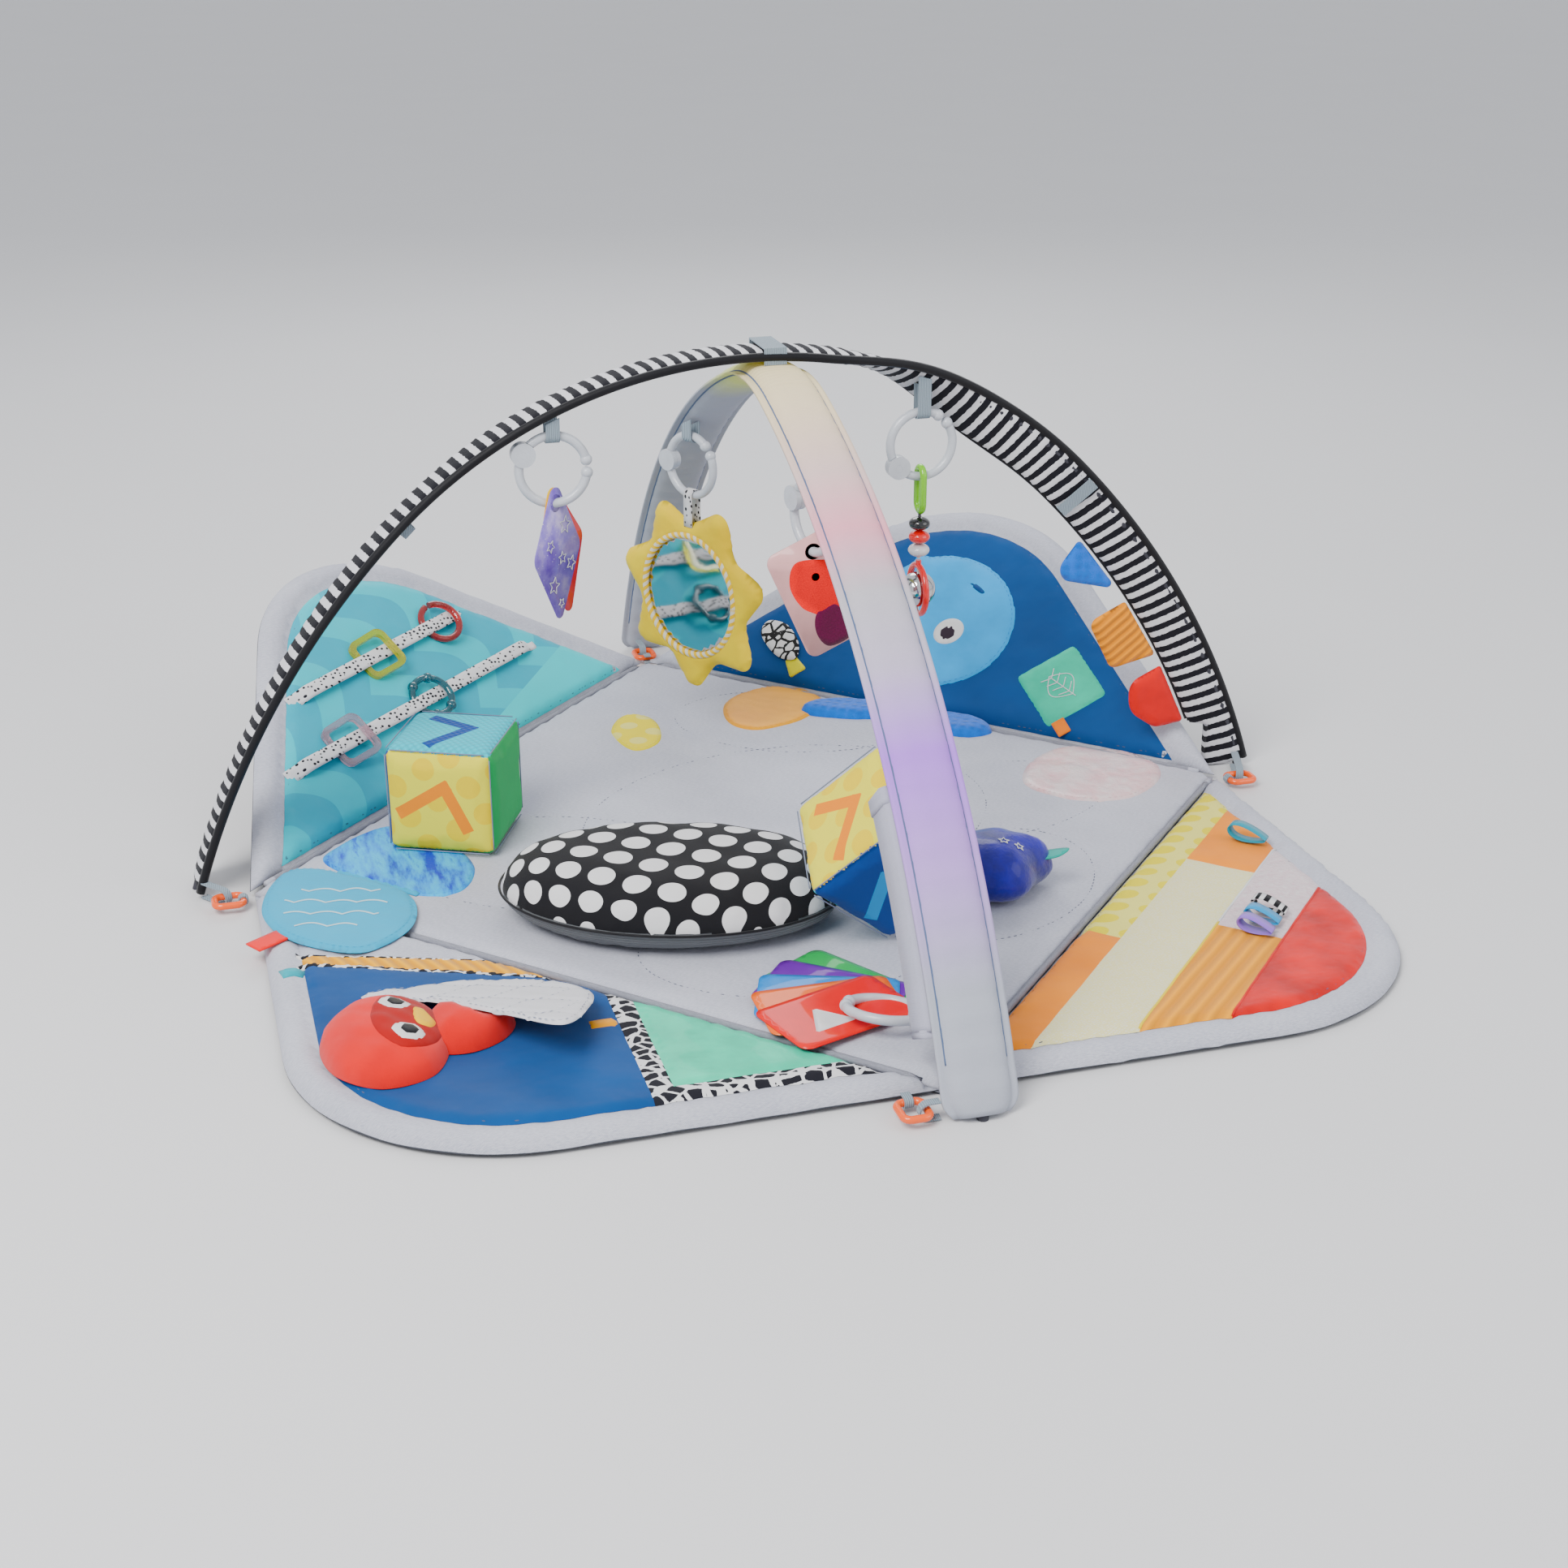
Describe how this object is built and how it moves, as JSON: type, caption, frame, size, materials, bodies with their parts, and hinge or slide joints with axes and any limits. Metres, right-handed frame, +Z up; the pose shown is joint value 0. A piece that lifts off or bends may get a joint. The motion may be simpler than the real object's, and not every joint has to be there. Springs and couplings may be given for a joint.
{
  "type": "activity play gym",
  "caption": "Padded floor play mat with fold-up corners, crossed arches that carry hanging toys, lift flaps, a light module, a tummy cushion, soft cubes and picture cards.",
  "frame": {"origin": "on the floor, under the middle of the mat's flat centre", "axes": "+X along the striped arch to the right, +Y away from the front corner edge, +Z up"},
  "size_m": [1.0294, 1.0848, 0.4508],
  "materials": {
    "grey_jersey": "light heather grey knit",
    "backing": "dark grey woven",
    "applique": "printed blue, pink, orange and yellow appliques",
    "teal_print": "printed satin",
    "ribbon_dot": "white ribbon with black dots",
    "navy": "navy twill",
    "sky": "satin",
    "mint": "crinkle satin",
    "nest_print": "navy twill, green satin and printed trims",
    "bird_red": "plush",
    "white_quilt": "quilted white",
    "patchwork": "patchwork of prints",
    "ribbon": "satin ribbon loops",
    "wave_blue": "satin with wave print",
    "rod": "glass-filled plastic rod",
    "stripe": "black and white stripes",
    "grey_sleeve": "light grey woven with piping",
    "light": "translucent light strip",
    "orange_plastic": "glossy",
    "webbing": "grey webbing",
    "module_white": "fine texture",
    "battery": "satin",
    "button": "soft",
    "red_clear": "translucent glitter",
    "yellow_clear": "translucent glitter",
    "teal_clear": "translucent",
    "pink_clear": "translucent",
    "ring_white": "frosted white",
    "card_purple": "printed card",
    "green_plastic": "glossy",
    "bead": "black, red and white beads",
    "red_plastic": "glossy",
    "mirror": "polished",
    "sun_yellow": "plush",
    "picture": "printed card",
    "blue_minky": "dotted plush",
    "orange_cord": "corduroy",
    "red_satin": "satin",
    "dots": "black with white dots",
    "cube_print": "yellow dots with orange numeral",
    "indigo": "shiny plush",
    "flash": "printed cards"
  },
  "bodies": {
    "mat_and_arches": {"center_pad": "grey_jersey", "center_backing": "backing", "center_appliques": "applique", "arch_rods": "rod", "striped_arch_sleeve": "stripe", "grey_arch_sleeve": "grey_sleeve", "light_string": "light", "foot_links": "orange_plastic", "foot_straps": "webbing", "module_housing": "module_white", "module_cover": "module_white", "batteries": "battery", "toy_loops": "webbing"},
    "back_left_corner": {"back_left_pad": "grey_jersey", "teal_panel": "teal_print", "link_ribbons": "ribbon_dot"},
    "back_right_corner": {"back_right_pad": "grey_jersey", "sea_panel": "navy", "sea_creature": "sky"},
    "front_left_corner": {"front_left_pad": "grey_jersey", "nest_panel": "nest_print"},
    "front_right_corner": {"front_right_pad": "grey_jersey", "patchwork_panel": "patchwork", "ribbon_tags": "ribbon"},
    "wave_hem": {"wave_hem": "wave_blue"},
    "wave_flap": {"wave_flap": "wave_blue"},
    "leaf_flap": {"leaf_flap": "mint"},
    "wing_flap": {"wing_flap": "white_quilt"},
    "bird": {"bird_plush": "bird_red"},
    "red_link": {"red_link": "red_clear"},
    "yellow_link": {"yellow_link": "yellow_clear"},
    "teal_link": {"teal_link": "teal_clear"},
    "pink_link": {"pink_link": "pink_clear"},
    "left_ring": {"left_ring": "ring_white"},
    "left_ring_gate": {"left_ring_gate": "ring_white"},
    "star_cards": {"star_cards": "card_purple"},
    "right_ring": {"right_ring": "ring_white"},
    "right_ring_gate": {"right_ring_gate": "ring_white"},
    "rattle": {"rattle_link": "green_plastic", "rattle_beads": "bead"},
    "rattle_hoop": {"rattle_hoop": "red_plastic"},
    "mirror_ball": {"mirror_ball": "mirror"},
    "sun_ring": {"sun_ring": "ring_white"},
    "sun_ring_gate": {"sun_ring_gate": "ring_white"},
    "sun": {"sun_toy": "sun_yellow", "sun_mirror": "mirror"},
    "card_ring": {"card_ring": "ring_white"},
    "card_ring_gate": {"card_ring_gate": "ring_white"},
    "picture_card": {"picture_card": "picture"},
    "blue_pennant": {"blue_pennant": "blue_minky"},
    "orange_pennant": {"orange_pennant": "orange_cord"},
    "red_pennant": {"red_pennant": "red_satin"},
    "power_button": {"power_button": "button"},
    "cushion": {"cushion": "dots"},
    "cube_left": {"cube_left": "cube_print"},
    "cube_right": {"cube_right": "cube_print"},
    "star_plush": {"star_plush": "indigo"},
    "flash_set": {"flash_cards": "flash", "flash_ring": "ring_white"},
    "flash_ring_gate": {"flash_ring_gate": "ring_white"}
  },
  "joints": [
    {"name": "fold_back_left", "type": "hinge", "parent": "mat_and_arches", "child": "back_left_corner", "pos_m": [-0.46, 0, 0.012], "axis": [0.6957, 0.7184, 0], "range_deg": [-41.5, 30]},
    {"name": "fold_back_right", "type": "hinge", "parent": "mat_and_arches", "child": "back_right_corner", "pos_m": [0.46, 0, 0.012], "axis": [0.6957, -0.7184, 0], "range_deg": [-41.5, 15]},
    {"name": "fold_front_left", "type": "hinge", "parent": "mat_and_arches", "child": "front_left_corner", "pos_m": [-0.46, 0, 0.012], "axis": [-0.6957, 0.7184, 0], "range_deg": [0, 14]},
    {"name": "fold_front_right", "type": "hinge", "parent": "mat_and_arches", "child": "front_right_corner", "pos_m": [0.46, 0, 0.012], "axis": [-0.6957, -0.7184, 0], "range_deg": [0, 45]},
    {"name": "wave_hem_turn", "type": "hinge", "parent": "mat_and_arches", "child": "wave_hem", "pos_m": [-0.4169, 0.04174, 0.0132], "axis": [-0.6957, 0.7184, 0], "range_deg": [0, 14]},
    {"name": "wave_flap_lift", "type": "hinge", "parent": "wave_hem", "child": "wave_flap", "pos_m": [-0.42121, 0.03757, 0.0152], "axis": [-0.6957, 0.7184, 0], "range_deg": [0, 100]},
    {"name": "leaf_flap_lift", "type": "hinge", "parent": "back_right_corner", "child": "leaf_flap", "pos_m": [0.36084, 0.19435, 0.07019], "axis": [-0.8705, 0.1255, -0.476], "range_deg": [0, 100]},
    {"name": "wing_flap_lift", "type": "hinge", "parent": "front_left_corner", "child": "wing_flap", "pos_m": [-0.4, -0.216, 0.0132], "axis": [-0.9922, 0.1247, 0], "range_deg": [0, 60]},
    {"name": "bird_pull", "type": "slide", "parent": "front_left_corner", "child": "bird", "axis": [-0.7507, -0.6606, 0], "range_m": [0, 0.12]},
    {"name": "red_link_slide", "type": "slide", "parent": "back_left_corner", "child": "red_link", "axis": [0.6826, 0.7306, 0.0159], "range_m": [-0.05, 0.02]},
    {"name": "yellow_link_slide", "type": "slide", "parent": "back_left_corner", "child": "yellow_link", "axis": [0.6826, 0.7306, 0.0159], "range_m": [-0.05, 0.05]},
    {"name": "teal_link_slide", "type": "slide", "parent": "back_left_corner", "child": "teal_link", "axis": [0.6893, 0.7244, 0.0078], "range_m": [-0.06, 0.06]},
    {"name": "pink_link_slide", "type": "slide", "parent": "back_left_corner", "child": "pink_link", "axis": [0.6893, 0.7244, 0.0078], "range_m": [-0.03, 0.05]},
    {"name": "left_ring_swing", "type": "hinge", "parent": "mat_and_arches", "child": "left_ring", "pos_m": [-0.177, 0.024, 0.3865], "axis": [1, 0, 0], "range_deg": [-25, 25]},
    {"name": "left_ring_open", "type": "hinge", "parent": "left_ring", "child": "left_ring_gate", "pos_m": [-0.20255, 0.024, 0.37175], "axis": [0, 1, 0], "range_deg": [0, 20]},
    {"name": "right_ring_swing", "type": "hinge", "parent": "mat_and_arches", "child": "right_ring", "pos_m": [0.16, 0.036, 0.3815], "axis": [1, 0, 0], "range_deg": [-18, 18]},
    {"name": "right_ring_open", "type": "hinge", "parent": "right_ring", "child": "right_ring_gate", "pos_m": [0.13808, 0.036, 0.33226], "axis": [0, 1, 0], "range_deg": [0, 20]},
    {"name": "sun_ring_swing", "type": "hinge", "parent": "mat_and_arches", "child": "sun_ring", "pos_m": [-0.002, 0.24, 0.3225], "axis": [0.515, -0.8572, 0], "range_deg": [-12, 12]},
    {"name": "sun_ring_open", "type": "hinge", "parent": "sun_ring", "child": "sun_ring_gate", "pos_m": [-0.01718, 0.26527, 0.29403], "axis": [0.8572, 0.515, 0], "range_deg": [0, 20]},
    {"name": "card_ring_swing", "type": "hinge", "parent": "mat_and_arches", "child": "card_ring", "pos_m": [0.012, -0.114, 0.3675], "axis": [0.2588, -0.9659, 0], "range_deg": [-25, 25]},
    {"name": "card_ring_open", "type": "hinge", "parent": "card_ring", "child": "card_ring_gate", "pos_m": [0.00483, -0.08722, 0.34809], "axis": [0.9659, 0.2588, 0], "range_deg": [0, 20]},
    {"name": "star_cards_swing", "type": "hinge", "parent": "left_ring_gate", "child": "star_cards", "pos_m": [-0.177, 0.024, 0.3275], "axis": [1, 0, 0], "range_deg": [-30, 30]},
    {"name": "rattle_swing", "type": "hinge", "parent": "right_ring_gate", "child": "rattle", "pos_m": [0.16, 0.036, 0.3225], "axis": [1, 0, 0], "range_deg": [-35, 35]},
    {"name": "rattle_hoop_swing", "type": "hinge", "parent": "rattle", "child": "rattle_hoop", "pos_m": [0.16, 0.036, 0.2445], "axis": [1, 0, 0], "range_deg": [-30, 30]},
    {"name": "mirror_ball_spin", "type": "hinge", "parent": "rattle_hoop", "child": "mirror_ball", "pos_m": [0.16, 0.036, 0.2157], "axis": [0, 0, 1], "continuous": true},
    {"name": "sun_swing", "type": "hinge", "parent": "sun_ring_gate", "child": "sun", "pos_m": [-0.002, 0.24, 0.2635], "axis": [0.515, -0.8572, 0], "range_deg": [-15, 15]},
    {"name": "picture_card_swing", "type": "hinge", "parent": "card_ring_gate", "child": "picture_card", "pos_m": [0.012, -0.114, 0.3085], "axis": [0.2588, -0.9659, 0], "range_deg": [-25, 25]},
    {"name": "blue_pennant_swing", "type": "hinge", "parent": "mat_and_arches", "child": "blue_pennant", "pos_m": [0.34532, 0.0479, 0.2193], "axis": [0.6198, 0, -0.7848], "range_deg": [-25, 25]},
    {"name": "orange_pennant_swing", "type": "hinge", "parent": "mat_and_arches", "child": "orange_pennant", "pos_m": [0.39332, 0.0479, 0.15089], "axis": [0.527, 0, -0.8499], "range_deg": [-25, 25]},
    {"name": "red_pennant_swing", "type": "hinge", "parent": "mat_and_arches", "child": "red_pennant", "pos_m": [0.43215, 0.0479, 0.07981], "axis": [0.4305, 0, -0.9026], "range_deg": [-25, 25]},
    {"name": "power_button_press", "type": "slide", "parent": "mat_and_arches", "child": "power_button", "axis": [0, -0.5878, -0.809], "range_m": [0, 0.002], "stiffness_N_per_m": 400, "springref_m": -0.001},
    {"name": "cushion_lift", "type": "slide", "parent": "mat_and_arches", "child": "cushion", "axis": [-0.8, 0, 0.6], "range_m": [0, 0.03]},
    {"name": "cube_left_lift", "type": "slide", "parent": "mat_and_arches", "child": "cube_left", "axis": [0, 0, 1], "range_m": [0, 0.15]},
    {"name": "cube_right_lift", "type": "slide", "parent": "mat_and_arches", "child": "cube_right", "axis": [0, 0, 1], "range_m": [0, 0.12]},
    {"name": "star_plush_lift", "type": "slide", "parent": "mat_and_arches", "child": "star_plush", "axis": [0.501, 0.3006, 0.8116], "range_m": [0, 0.12]},
    {"name": "flash_set_lift", "type": "slide", "parent": "mat_and_arches", "child": "flash_set", "axis": [-0.7502, -0.2001, 0.6302], "range_m": [0, 0.05]},
    {"name": "flash_ring_open", "type": "hinge", "parent": "flash_set", "child": "flash_ring_gate", "pos_m": [0.0121, -0.39899, 0.02321], "axis": [0.1598, 0.1816, 0.9703], "range_deg": [0, 20]}
  ],
  "couplings": [
    {"joint": "wave_hem_turn", "follows": "fold_front_left", "ratio": 1}
  ]
}
